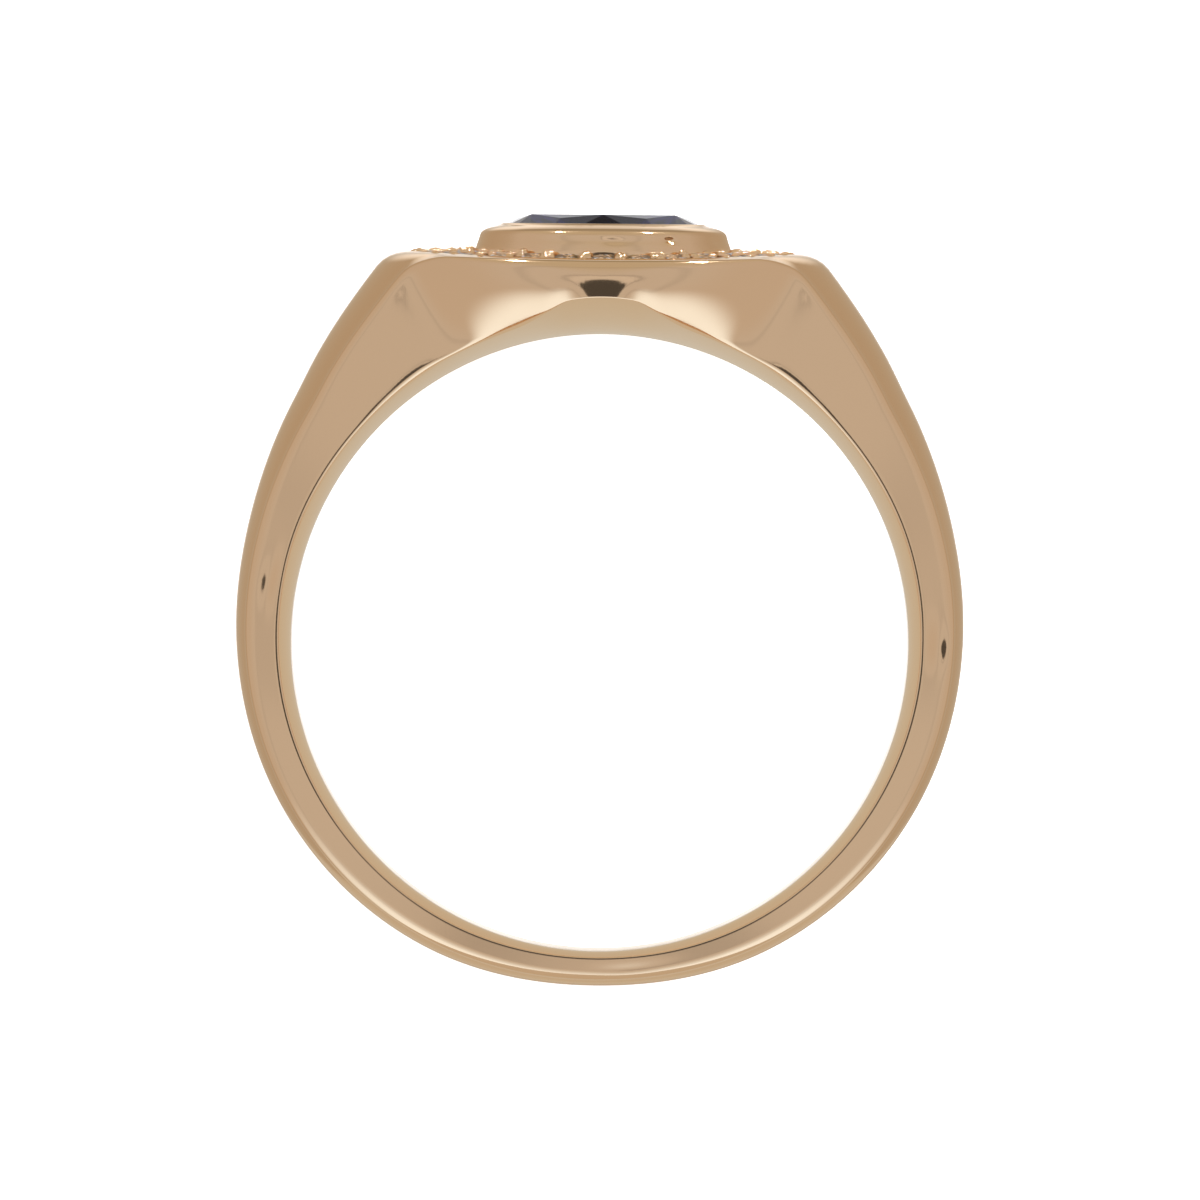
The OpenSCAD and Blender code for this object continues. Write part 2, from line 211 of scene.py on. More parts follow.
def outer_radius(turn, z):
    """Outer wall of a section at a distance z along the finger."""
    drop = column(turn, CROWN) * (abs(z) / column(turn, EDGE_HALF)) ** CROWN_POWER
    face = BORE_R + column(turn, WALL) - drop
    return face if turn < HEAD_TURN else smooth_min(dome_radius(turn, z), face, TOP_BLEND)


def rim_half(turn):
    """Half width of a section at its outer edge."""
    return (column(turn, EDGE_HALF) ** BLEND_POWER + oval_half(turn) ** BLEND_POWER) ** (1 / BLEND_POWER)


def relief_radius(turn, z):
    """Inner wall of a section, opening from the plain cylinder to the inner edge."""
    reach = column(turn, CREASE_HALF) - LAND_HALF
    u = (z - LAND_HALF) / reach
    rise = column(turn, CREASE_RISE) - RELIEF_SLOPE * reach
    return BORE_R + RELIEF_SLOPE * reach * u + rise * u * u


def shares(count, first=0.0, last=1.0):
    """Even steps from first to last, without the first one."""
    return [first + (last - first) * (n + 1) / count for n in range(count)]


def eased(u):
    """A share from 0 to 1, easing in and out."""
    u = max(0.0, min(1.0, u))
    return u * u * (3 - 2 * u)


def along_band(turn, span):
    """A share that eases in from a turn of the band over so many degrees, given as a pair."""
    return eased((turn - span[0]) / span[1])


def rounded(first, corner, last, count, weight=1.0):
    """Points of a rounded corner between two points, without the first one."""
    points = []
    for u in shares(count):
        a, b, c = (1 - u) ** 2, 2 * u * (1 - u) * weight, u * u
        total = a + b + c
        points.append(tuple((a * p + b * q + c * r) / total for p, q, r in zip(first, corner, last)))
    return points


def half_section(turn):
    """Half of the section at a turn, from the middle of the bore to the middle of the outer face.

    On the shoulders the side flares a little just above its lower edge, as a soft lip.
    """
    flare_reach = FLARE_REACH * (1 + 0.5 * along_band(turn, FLARE_WIDENS))
    flare_share = along_band(turn, FLARE_STARTS) * (1 - along_band(turn, FLARE_ENDS))
    flare = FLARE_SLOPE * flare_reach / 2 * flare_share
    crease = (BORE_R + column(turn, CREASE_RISE), column(turn, CREASE_HALF) - flare)
    rim_z = rim_half(turn)
    headness = along_band(turn, (HEAD_TURN, HEAD_ONSET))
    lean = RIM_LEAN * headness
    corner = min(RIM_ROUND, (outer_radius(turn, rim_z) - crease[0]) * 0.45)
    flat_z = rim_z - lean - corner
    top_r = outer_radius(turn, flat_z)
    power = 1 + HEAD_BOW * headness

    def relief(u):
        """A point of the relieved inner wall."""
        z = LAND_HALF + u * (crease[1] - LAND_HALF)
        return relief_radius(turn, z), z

    def side(u):
        """A point of the side, from the inner edge out to the rim."""
        bow = (1 - (1 - u) ** power) * (rim_z - crease[1] - flare)
        back = lean * max(0.0, (u - LEAN_FROM) / (1 - LEAN_FROM)) ** 2
        out = u * (top_r - corner - crease[0])
        flared = flare * (1 - max(0.0, 1 - out / flare_reach) ** 2)
        return crease[0] + out, crease[1] + bow - back + flared

    edge, near_edge = side(1), side(0.99)
    slope = (edge[1] - near_edge[1]) / (edge[0] - near_edge[0])

    # The inner edge is rounded, softer on the sides than at the back and under the head
    softness = 0.4 + 0.6 * along_band(turn, CREASE_SOFTENS) - 0.75 * along_band(turn, CREASE_SHARPENS)
    reach = CREASE_ROUND * softness
    last = 1 - reach / (crease[1] - LAND_HALF)
    first = reach / math.dist(crease, edge)
    points = [(BORE_R, u * LAND_HALF) for u in (0, 0.4, 0.8, 1)]
    points += [relief(u) for u in shares(8, 0, last)]
    points += rounded(relief(last), crease, side(first), 9)
    points += [side(u) for u in shares(16, first, 1)]
    points += rounded(edge, (top_r, edge[1] + slope * corner), (top_r, flat_z), 9, CORNER_WEIGHT)
    points += [(outer_radius(turn, (1 - u) * flat_z), (1 - u) * flat_z) for u in shares(12)]
    return points


# Small dints of wear in the polished side. Columns: turn, radius, half turn, half width, depth
DINTS = ((259.5, 10.06, 3.4, 0.185, 0.09), (5.5, 9.8, 5.0, 0.16, 0.02), (90.2, 10.12, 3.4, 0.26, 0.142))


def dinted(turn, r, z):
    """A point of the front side, let down where there is a dint."""
    for at, radius, half_turn, half_width, depth in DINTS:
        away = ((turn - at) / half_turn) ** 2 + ((r - radius) / half_width) ** 2
        z -= depth * math.exp(-away)
    return r, z


def whole_section(turn):
    """A closed section at any turn, as points of the upright ring."""
    half = half_section(turn if turn <= 180 else 360 - turn)
    front = [dinted(turn, r, z) for r, z in half[1:-1]]
    loop = half[:1] + front + half[-1:] + [(r, -z) for r, z in half[-2:0:-1]]
    angle = math.radians(turn)
    return [(r * math.sin(angle), -r * math.cos(angle), z) for r, z in loop]


half_turns = [1.5 * n for n in range(94)] + [141 + n for n in range(39)]
turns = half_turns + [180] + [360 - t for t in half_turns[:0:-1]]
sections = [whole_section(t) for t in turns]
print(len(turns), "sections of", len(sections[0]), "points")

# %% [markdown]
# ## Working upright and in millimetres
# Every new piece is modelled upright and in millimetres, where sizes are easy to read and cuts between
# meshes are exact. As its last step a piece's mesh is carried into the frame, so that its object stays
# at the origin, unturned and unscaled. A piece starts as a grid primitive whose columns and rows are
# wrapped round, as paper is rolled into a tube, and whose seams are then merged.

# %% Helpers for modelling
upright = Matrix((across, headward, along)).transposed()
to_frame = Matrix.LocRotScale(hole_centre, upright, Vector((MM, MM, MM)))
MERGE = 0.00005


def start(name):
    """The primitive that was just added, as the only selected piece, under a plain name."""
    piece = bpy.context.active_object
    piece.name = piece.data.name = name
    return piece


def deselect():
    """Nothing is selected, so the next operator acts on what it makes."""
    if bpy.context.active_object and bpy.context.active_object.mode != "OBJECT":
        bpy.ops.object.mode_set(mode="OBJECT")
    bpy.ops.object.select_all(action="DESELECT")


def wrapped(name, columns, rows, place, tube=False):
    """A grid of columns by rows, each vertex put in its place. A tube's rows close up too."""
    deselect()
    across_count, up_count = columns, rows if tube else rows - 1
    bpy.ops.mesh.primitive_grid_add(x_subdivisions=across_count, y_subdivisions=up_count, size=1)
    piece = start(name)
    for v in piece.data.vertices:
        i = round((v.co.x + 0.5) * across_count) % columns
        j = round((v.co.y + 0.5) * up_count)
        v.co = Vector(place(i, j % rows if tube else j))
    bpy.ops.object.mode_set(mode="EDIT")
    bpy.ops.mesh.select_all(action="SELECT")
    bpy.ops.mesh.remove_doubles(threshold=MERGE)
    if not tube:
        bpy.ops.mesh.select_all(action="DESELECT")
        bpy.ops.mesh.select_non_manifold()
        bpy.ops.mesh.edge_face_add()
    bpy.ops.mesh.select_all(action="SELECT")
    bpy.ops.mesh.normals_make_consistent(inside=False)
    bpy.ops.object.mode_set(mode="OBJECT")
    return piece


def cut(piece, tool, how="DIFFERENCE"):
    """Cuts one mesh by another, or joins it on, and removes the tool."""
    deselect()
    piece.select_set(True)
    bpy.context.view_layer.objects.active = piece
    step = piece.modifiers.new("cut", "BOOLEAN")
    step.operation = how
    step.solver = "EXACT"
    step.object = tool
    bpy.ops.object.modifier_apply(modifier=step.name)
    bpy.data.objects.remove(tool)
    return piece


def joined(name, pieces):
    """Several meshes as one piece."""
    deselect()
    for piece in pieces:
        piece.select_set(True)
    bpy.context.view_layer.objects.active = pieces[0]
    if len(pieces) > 1:
        bpy.ops.object.join()
    return start(name)


def copied(piece, move):
    """A copy of a piece with a mesh of its own, moved by a matrix."""
    twin = piece.copy()
    twin.data = piece.data.copy()
    bpy.context.collection.objects.link(twin)
    twin.data.transform(move)
    return twin


def open_edges(piece):
    """How many edges of a piece don't lie between exactly two faces."""
    uses = {}
    for face in piece.data.polygons:
        for key in face.edge_keys:
            uses[key] = uses.get(key, 0) + 1
    return sum(1 for count in uses.values() if count != 2)


def smoothed(piece, angle=30):
    """Smooth shading that keeps edges sharper than an angle."""
    deselect()
    piece.select_set(True)
    bpy.context.view_layer.objects.active = piece
    bpy.ops.object.shade_smooth_by_angle(angle=math.radians(angle))
    return piece


# %% [markdown]
# ## The band and head
# The casting's sections become the columns of a wrapped grid. It is dense enough that the polished
# surface has no facets in its reflections.

# %% Wrap the casting
body = wrapped("ring_body", len(sections), len(sections[0]), lambda i, j: sections[i][j], tube=True)
print("casting faces:", len(body.data.polygons))

# %% [markdown]
# ## The set field
# A jeweller cuts the field down a little inside a bright polished border, drills a seat for each small
# diamond, and raises beads of gold over the stones' edges. The field is an oval that follows the
# centre stone, so its rows are ovals too, with the stones spaced evenly along them.

# %% Cut the field and drill the seats
OVAL_SIDES = 160
FIELD_IN = BEZEL_WALL + BASE_FLARE - 0.02
FIELD_OUT = FIELD_IN + FIELD_WIDTH
ROWS = ((FIELD_IN + FIELD_WIDTH / 4, 27), (FIELD_IN + FIELD_WIDTH * 3 / 4, 33))
MELEE_R = MELEE_D / 2
SEAT_R = MELEE_R + 0.03
SEAT_DEPTH = 0.3


def oval_point(offset, height, angle):
    """A point on an oval at an offset from the centre stone's outline."""
    return (STONE_HALF_X + offset) * math.sin(angle), height, (STONE_HALF_Z + offset) * math.cos(angle)


def even_angle(offset, i, count):
    """Angle of the i-th of so many points spaced evenly along an oval."""
    a, b = STONE_HALF_X + offset, STONE_HALF_Z + offset
    u = 2 * math.pi * i / count
    return u + (b * b - a * a) / (b * b + a * a) / 4 * math.sin(2 * u)


def field_floor(x, z):
    """Height of the cut-down field under the dome."""
    return dome(x, z) - FIELD_DEPTH


def row_places(offset, count, shift=0.0, half=0.0):
    """Places on the field's floor along a row."""
    spots = [oval_point(offset + shift, 0, even_angle(offset, i + half, count)) for i in range(count)]
    return [(x, field_floor(x, z), z) for x, _, z in spots]


FLOOR_SHARES = (0.05, 0.5, 0.6, 0.7, 0.8, 0.9, 1.0)
half_x, half_z = STONE_HALF_X + FIELD_OUT, STONE_HALF_Z + FIELD_OUT


def field_tool_point(i, j):
    """A point of the cutter, whose underside is the field's floor."""
    angle = 2 * math.pi * i / OVAL_SIDES
    if j == len(FLOOR_SHARES):
        return half_x * math.sin(angle), TOP_HEIGHT + 1, half_z * math.cos(angle)
    x, z = half_x * FLOOR_SHARES[j] * math.sin(angle), half_z * FLOOR_SHARES[j] * math.cos(angle)
    return x, field_floor(x, z), z


cut(body, wrapped("field_tool", OVAL_SIDES, len(FLOOR_SHARES) + 1, field_tool_point))

melee_places = [p for offset, count in ROWS for p in row_places(offset, count)]
DRILL = ((0, -SEAT_DEPTH), (SEAT_R * 0.6, -SEAT_DEPTH * 0.7), (SEAT_R, -0.08), (SEAT_R, 0.12))


def drill_point(i, j):
    """A point of the drill, a short cylinder on a blunt point."""
    radius, height = DRILL[j]
    angle = 2 * math.pi * i / 20
    return radius * math.sin(angle), height, radius * math.cos(angle)


one_drill = wrapped("one_drill", 20, len(DRILL), drill_point)
drills = [copied(one_drill, Matrix.Translation(place)) for place in melee_places]
bpy.data.objects.remove(one_drill)
cut(body, joined("seat_drills", drills))
print("seats drilled:", len(melee_places), "casting faces now:", len(body.data.polygons))

# %% [markdown]
# ## The hollow behind the stone
# The stone's point needs room, so the head is hollowed under it, and a small round hole lets light and
# water through to the finger hole. The hollow is an oval funnel, wrapped like the casting.

# %% Hollow the head
SEAT_REACH = 0.45
HOLLOW_END = BORE_R + 0.85
BACK_HOLE_R = 1.1
HOLLOW = ((-1.9, HOLLOW_END), (-SEAT_REACH, TOP_HEIGHT - 0.8), (-SEAT_REACH, TOP_HEIGHT + 1))


def oval_rings(profile, sides):
    """Place function for a wrap whose rows are ovals, from (offset, height) pairs."""
    return lambda i, j: oval_point(profile[j][0], profile[j][1], 2 * math.pi * i / sides)


cut(body, wrapped("hollow_tool", 96, len(HOLLOW), oval_rings(HOLLOW, 96)))
deselect()
hole_low, hole_high = BORE_R / 2, HOLLOW_END + 0.1
bpy.ops.mesh.primitive_cylinder_add(
    vertices=64,
    radius=BACK_HOLE_R,
    depth=hole_high - hole_low,
    location=(0, (hole_low + hole_high) / 2, 0),
    rotation=(math.pi / 2, 0, 0),
)
bpy.ops.object.transform_apply(location=True, rotation=True, scale=True)
cut(body, start("back_hole_tool"))
print("casting faces with its hollow:", len(body.data.polygons))

# %% [markdown]
# ## The bezel
# A rub-over bezel is a wall of gold soldered round the stone's seat and burnished over its edge. Its
# foot flares a little, its shoulder is soft, and its top slopes gently up to a thin lip on the stone.
# One closed profile, wrapped round the stone as a tube, gives all of that.

# %% Wrap the bezel
BEZEL_SIDES = 300
LIP_HEIGHT = GIRDLE_HEIGHT + 0.115
STONE_GAP = 0.035
PAVILION_TOP = GIRDLE_HEIGHT - 0.12
# Outside of the wall, as pairs of offset from the stone's outline and height
WALL_OUTSIDE = ((0.78, 11.66), (0.775, 11.72), (0.755, 11.79), (0.71, 11.93), (0.67, 12.04))
WALL_OUTSIDE += ((0.64, 12.14), (0.617, 12.22), (0.585, 12.28), (0.535, 12.33), (0.46, 12.378))
WALL_OUTSIDE += ((0.36, 12.42), (0.24, 12.455), (0.12, 12.484), (0.02, 12.512), (-0.05, LIP_HEIGHT + 0.005))
# Dints in the wall. Columns: angle, height, half angle, half height, depth
WALL_DINTS = ((32, 12.06, 2.6, 0.09, 0.1), (5.5, 12.03, 5.5, 0.1, 0.03), (64, 12.1, 6, 0.15, 0.03))
# Slow waves round the wall. Columns: count, phase, depth
WALL_WAVES = ((9, 0.6, 0.01), (17, 2.1, 0.005))
WALL_STEPS = 4


def finer(points, steps):
    """A smooth curve through points, with so many steps between each two."""
    curve = []
    for n in range(len(points) - 1):
        before, a, b, after = (points[max(0, min(len(points) - 1, n + k))] for k in (-1, 0, 1, 2))
        for u in (k / steps for k in range(steps)):
            ease_a, ease_b = u * (1 - u) ** 2 / 2, u * u * (1 - u) / 2
            keep = (1 + 2 * u) * (1 - u) ** 2
            point = []
            for p, q, r, t in zip(before, a, b, after):
                point.append(keep * q + (1 - keep) * r + ease_a * (r - p) - ease_b * (t - q))
            curve.append(tuple(point))
    return curve + [points[-1]]


def arc(centre, radius, first, last, count):
    """Points (offset, height) on an arc, its angles in degrees from the outward direction."""
    angles = [math.radians(first + (last - first) * n / count) for n in range(count + 1)]
    return [(centre[0] + radius * math.cos(a), centre[1] + radius * math.sin(a)) for a in angles]


bezel_profile = [
    (-SEAT_REACH, TOP_HEIGHT - 0.7),
    (BEZEL_WALL + BASE_FLARE + 0.02, TOP_HEIGHT - 0.7),
    *finer(WALL_OUTSIDE, WALL_STEPS),
    *arc((-LIP_COVER + 0.03, LIP_HEIGHT - 0.018), 0.03, 90, 200, 5),
    (STONE_GAP, GIRDLE_HEIGHT + 0.04),
    (STONE_GAP, PAVILION_TOP - STONE_GAP),
    (-SEAT_REACH, PAVILION_TOP - STONE_GAP - SEAT_REACH * 0.8),
]


def bezel_point(i, j):
    """A point of the bezel, its wall let down by dints and slow waves."""
    offset, height = bezel_profile[j]
    angle = 2 * math.pi * i / BEZEL_SIDES
    if offset > 0.1 and height > TOP_HEIGHT - 0.3:
        for at, level, half_angle, half_height, depth in WALL_DINTS:
            away = ((math.degrees(angle) - at) / half_angle) ** 2 + ((height - level) / half_height) ** 2
            offset -= depth * math.exp(-away)
        for count, phase, size in WALL_WAVES:
            offset += size * (math.sin(count * angle + phase) - 1)
    return oval_point(offset, height, angle)


bezel = wrapped("bezel", BEZEL_SIDES, len(bezel_profile), bezel_point, tube=True)
print("bezel profile:", len(bezel_profile), "points")

# %% [markdown]
# ## Beads
# Each diamond is held by beads, small grains of gold that a graver raises from the field and a cupped
# punch rounds. They are never quite alike. One low ball is modelled and copied along both sides of each
# row, with a little seeded difference in size, place and turn.

# %% Raise the beads
BEAD_R = 0.135
chance = random.Random(7)
bead_shift = FIELD_WIDTH * 0.15
bead_places = []
for offset, count in ROWS:
    for side in (-bead_shift, bead_shift):
        bead_places += row_places(offset, count, side, 0.5)


def turned_at_random(turn, tilt):
    """A turn about the upright axis and a tilt, each up to a limit either way."""
    about = Matrix.Rotation(chance.uniform(-turn, turn), 4, "Y")
    return about @ Matrix.Rotation(chance.uniform(-tilt, tilt), 4, "X")


deselect()
bpy.ops.mesh.primitive_ico_sphere_add(subdivisions=2, radius=BEAD_R)
bpy.ops.object.mode_set(mode="EDIT")
bpy.ops.transform.resize(value=(1, 1.15, 1))
bpy.ops.object.mode_set(mode="OBJECT")
one_bead = start("one_bead")
copies = []
for x, y, z in bead_places:
    turn = turned_at_random(math.pi, 0.2)
    size = Vector((chance.uniform(0.85, 1.25), chance.uniform(0.75, 1.2), chance.uniform(0.85, 1.25)))
    shift = Vector((x + chance.uniform(-0.03, 0.03), y + 0.03, z + chance.uniform(-0.03, 0.03)))
    move = Matrix.Translation(shift) @ turn @ Matrix.Diagonal(size.to_4d())
    copies.append(copied(one_bead, move))
bpy.data.objects.remove(one_bead)
beads = joined("beads", copies)
print("beads:", len(bead_places))

# %% [markdown]
# ## Small diamonds
# The field's stones are tiny brilliants: a table, eight stars, eight kites and sixteen upper facets over
# a thin girdle, then sixteen lower facets and eight mains down to a point. Only the corners matter, as
# the facets are the flat faces stretched over them. So we wrap rows of corners round the axis and take
# their convex hull. The stones stay unsmoothed, as flat facets are what makes them sparkle.

# %% Cut the small diamonds
CROWN_H, GIRDLE_T, PAVILION_D = 0.14, 0.02, 0.37
TABLE_SHARE, STAR_SHARE, LOWER_SHARE = 0.56, 0.78, 0.25
STEP = math.pi / 8
level = math.cos(STEP)
star_up = CROWN_H * (1 - STAR_SHARE * level) / (1 - TABLE_SHARE)
lower_down = PAVILION_D * (1 - LOWER_SHARE * level)
# Columns: share of the radius, height, columns on one corner, first corner's turn in steps
BRILLIANT = (
    (TABLE_SHARE, GIRDLE_T + CROWN_H, 2, 0),
    (STAR_SHARE, GIRDLE_T + star_up, 2, 1),
    (1, GIRDLE_T, 1, 0),
    (1, 0, 1, 0),
    (LOWER_SHARE, -lower_down, 2, 1),
    (0, -PAVILION_D, 1, 0),
)


def brilliant_corner(i, j):
    """Corner i of row j. A row of eight corners puts two columns on each."""
    share, height, doubled, turned = BRILLIANT[j]
    angle = STEP * (i - i % doubled + turned)
    return MELEE_R * share * math.sin(angle), height, MELEE_R * share * math.cos(angle)


one_diamond = wrapped("one_diamond", 16, len(BRILLIANT), brilliant_corner)
deselect()
one_diamond.select_set(True)
bpy.context.view_layer.objects.active = one_diamond
bpy.ops.object.mode_set(mode="EDIT")
bpy.ops.mesh.select_all(action="SELECT")
flat = math.radians(1)
bpy.ops.mesh.convex_hull(use_existing_faces=False, face_threshold=flat, shape_threshold=flat)
bpy.ops.mesh.select_all(action="SELECT")
bpy.ops.mesh.normals_make_consistent(inside=False)
bpy.ops.object.mode_set(mode="OBJECT")
print("one diamond:", len(one_diamond.data.polygons), "faces, open edges:", open_edges(one_diamond))

melee_stones = []
for x, y, z in melee_places:
    seat = Matrix.Translation((x, y - 0.07, z))
    melee_stones.append(copied(one_diamond, seat @ turned_at_random(math.pi, 0.05)))
bpy.data.objects.remove(one_diamond)
diamonds = joined("small_diamonds", melee_stones)
print("diamonds:", len(melee_places), "with", len(diamonds.data.polygons), "facets in all")

# %% [markdown]
# ## Painted shade in the crevices
# Little light reaches down between the beads, so the field's floor is painted darker than the bright gold
# round it, as painted shade. Painting a picture would do it, but a number stored on each point is simpler
# and follows the surface. It rises from 0 at the beads' shoulders to 1 on the floor, and the gold's colour
# reads it later on.

# %% Mark the painted shade in the field's crevices
# Painted shade: it starts this far over the field's floor and is full this far below that.
CREVICE_SHADE_TOP, CREVICE_SHADE_DEPTH = 0.04, 0.12


def shade_crevices(piece, base):
    """Gives a piece a painted-shade attribute that rises from 0 to 1 going down below a height over the
    field.
    """
    grime = piece.data.attributes.new("grime", "FLOAT", "POINT")
    marked = 0
    for n, v in enumerate(piece.data.vertices):
        x, y, z = v.co
        inside = math.hypot(x / (STONE_HALF_X + FIELD_OUT + 0.02), z / (STONE_HALF_Z + FIELD_OUT + 0.02)) < 1
        outside = math.hypot(x / STONE_HALF_X, z / STONE_HALF_Z) > 1
        if inside and outside and y > TOP_HEIGHT - 1:
            grime.data[n].value = max(0.0, min(1.0, (field_floor(x, z) + base - y) / CREVICE_SHADE_DEPTH))
            marked += grime.data[n].value > 0.5
    return marked


print("crevice_shaded points:", [shade_crevices(piece, CREVICE_SHADE_TOP) for piece in (body, bezel, beads)])

# %% [markdown]
# ## Into the frame
# The pieces are finished upright, so their meshes are now carried into the frame, and each one is hung on
# the body it rides on, while the solid that it replaces is hidden. The smooth gold is rounder than the
# solids' flat triangles, so its points are held inside the solids' box.

# %% Carry the pieces into the frame
for piece in (body, bezel, beads):
    piece.data.transform(to_frame)
    for v in piece.data.vertices:
        v.co = [min(max(c, low), high) for c, low, high in zip(v.co, cad_low, cad_high)]
    smoothed(piece)
    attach(piece, "root")
    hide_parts("gold_body")
diamonds.data.transform(to_frame)
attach(diamonds, "root")
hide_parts("pave_diamonds")
for piece in (body, bezel, beads, diamonds):
    print(piece.name, "faces:", len(piece.data.polygons), "open edges:", open_edges(piece))

# %% [markdown]
# ## Polished gold
# Polished metal has hardly any colour of its own: it shows the room, tinted. What makes it real is how
# it departs from a mirror. Buffing leaves very fine lines, handling leaves faint haze, and the tint
# drifts a little. Fine stretched noise tilts the surface, and soft noise varies the roughness.

# %% Gold
def noise(tree, vector, scale, detail=2.0, name="Noise"):
    """A soft random pattern from 0 to 1."""
    node = tree.nodes.new("ShaderNodeTexNoise")
    node.label = name
    node.inputs["Scale"].default_value = scale
    node.inputs["Detail"].default_value = detail
    tree.links.new(vector, node.inputs["Vector"])
    return node.outputs["Fac"]


def stretched(tree, scale):
    """Object coordinates scaled by axis, in steps a metre."""
    coords = tree.nodes.new("ShaderNodeTexCoord")
    mapping = tree.nodes.new("ShaderNodeMapping")
    mapping.inputs["Scale"].default_value = scale
    tree.links.new(coords.outputs["Object"], mapping.inputs["Vector"])
    return mapping.outputs["Vector"]


def ranged(tree, value, low, high):
    """A value from 0 to 1 as one from low to high."""
    node = tree.nodes.new("ShaderNodeMapRange")
    node.inputs["To Min"].default_value = low
    node.inputs["To Max"].default_value = high
    tree.links.new(value, node.inputs["Value"])
    return node.outputs["Result"]


def mixed(tree, value, first, second):
    """A colour between two by a value."""
    node = tree.nodes.new("ShaderNodeMix")
    node.data_type = "RGBA"
    node.inputs["A"].default_value = (*first, 1)
    node.inputs["B"].default_value = (*second, 1)
    tree.links.new(value, node.inputs["Factor"])
    return node.outputs["Result"]


def bumped(tree, height, distance, strength=1.0):
    """A surface tilted by a pattern of heights, so many metres deep."""
    node = tree.nodes.new("ShaderNodeBump")
    node.inputs["Strength"].default_value = strength
    node.inputs["Distance"].default_value = distance
    tree.links.new(height, node.inputs["Height"])
    return node.outputs["Normal"]


def new_material(name):
    """A material with its nodes and its main shader."""
    material = bpy.data.materials.new(name)
    material.use_nodes = True
    return material, material.node_tree, material.node_tree.nodes["Principled BSDF"]


gold, tree, shader = new_material("polished_gold")
shader.inputs["Metallic"].default_value = 1.0
shader.inputs["Specular Tint"].default_value = (0.95, 0.9, 0.8, 1)
haze = noise(tree, stretched(tree, (1, 1, 1)), 350, 4, "haze")
drift = noise(tree, stretched(tree, (1, 1, 1)), 90, 2, "drift")
lines = noise(tree, stretched(tree, (15000, 500, 500)), 1, 3, "buffing lines")
clean = mixed(tree, drift, (0.80, 0.555, 0.355), (0.83, 0.60, 0.40))
# Painted shade: the crevice attribute turns the gold's colour to a dark brown in the field's crevices.
grime = tree.nodes.new("ShaderNodeAttribute")
grime.attribute_name = "grime"
crevice_shade_mix = tree.nodes.new("ShaderNodeMix")
crevice_shade_mix.data_type = "RGBA"
crevice_shade_mix.inputs["B"].default_value = (0.34, 0.215, 0.12, 1)
tree.links.new(grime.outputs["Fac"], crevice_shade_mix.inputs["Factor"])
tree.links.new(clean, crevice_shade_mix.inputs["A"])
tree.links.new(crevice_shade_mix.outputs["Result"], shader.inputs["Base Color"])
tree.links.new(ranged(tree, haze, 0.05, 0.17), shader.inputs["Roughness"])
tree.links.new(bumped(tree, lines, 0.0000006), shader.inputs["Normal"])
for piece in (body, bezel, beads):
    piece.data.materials.clear()
    piece.data.materials.append(gold)
print("gold nodes:", len(tree.nodes))

# %% [markdown]
# ## Sapphire and diamond
# Cut stones are clear glass-like solids: light goes in, bounces off the back facets and comes out. We
# use a transmitting surface for both. The diamonds take their own strong refraction. The sapphire is so
# deep a blue that it looks nearly black, and only its surface shows. Seen this flat, a true refraction
# would turn its facets white with glare, so a lower one keeps them dark.

# %% Stones
sapphire_glass, tree, shader = new_material("sapphire_glass")
shader.inputs["Roughness"].default_value = 0.01
shader.inputs["IOR"].default_value = 1.22
shader.inputs["Transmission Weight"].default_value = 0.9
shader.inputs["Specular IOR Level"].default_value = 0.4
shader.inputs["Specular Tint"].default_value = (0.7, 0.55, 1.0, 1)
zoning = noise(tree, stretched(tree, (1, 1, 1)), 600, 2, "colour zoning")
tree.links.new(mixed(tree, zoning, (0.005, 0.004, 0.02), (0.01, 0.008, 0.035)), shader.inputs["Base Color"])
sapphire = frame["nodes"]["sapphire"]
sapphire.data.materials.clear()
sapphire.data.materials.append(sapphire_glass)

diamond_glass, tree, shader = new_material("diamond_glass")
shader.inputs["Roughness"].default_value = 0.0
shader.inputs["IOR"].default_value = 2.42
shader.inputs["Transmission Weight"].default_value = 1.0
clarity = noise(tree, stretched(tree, (1, 1, 1)), 900, 2, "clarity")
tree.links.new(mixed(tree, clarity, (0.98, 0.93, 0.87), (1, 0.97, 0.93)), shader.inputs["Base Color"])
diamonds.data.materials.clear()
diamonds.data.materials.append(diamond_glass)
print("stones:", sapphire.name, diamonds.name)

# %% [markdown]
# ## Floor
# The ring lies on a plain pale sheet. A large flat square, gently rounded up far behind the ring, would
# also do, but the camera looks down on it, so a plane with a faint mottle is enough.

# %% Floor
deselect()
bpy.ops.mesh.primitive_grid_add(x_subdivisions=8, y_subdivisions=8, size=4)
floor = start("floor")
paper, tree, shader = new_material("pale_paper")
shader.inputs["Roughness"].default_value = 0.9
shader.inputs["Specular IOR Level"].default_value = 0.1
shader.inputs["Emission Strength"].default_value = 0.85
mottle = noise(tree, stretched(tree, (1, 1, 1)), 60, 3, "mottle")
tree.links.new(mixed(tree, mottle, (0.88, 0.88, 0.885), (0.9, 0.9, 0.9)), shader.inputs["Base Color"])
floor.data.materials.append(paper)
floor.visible_glossy = False
floor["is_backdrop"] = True

# %% [markdown]
# ## Camera
# The ring is seen straight along the finger by a long lens, level with the top of its head. The ring
# lies on its side, so the camera stands almost over it and looks down.

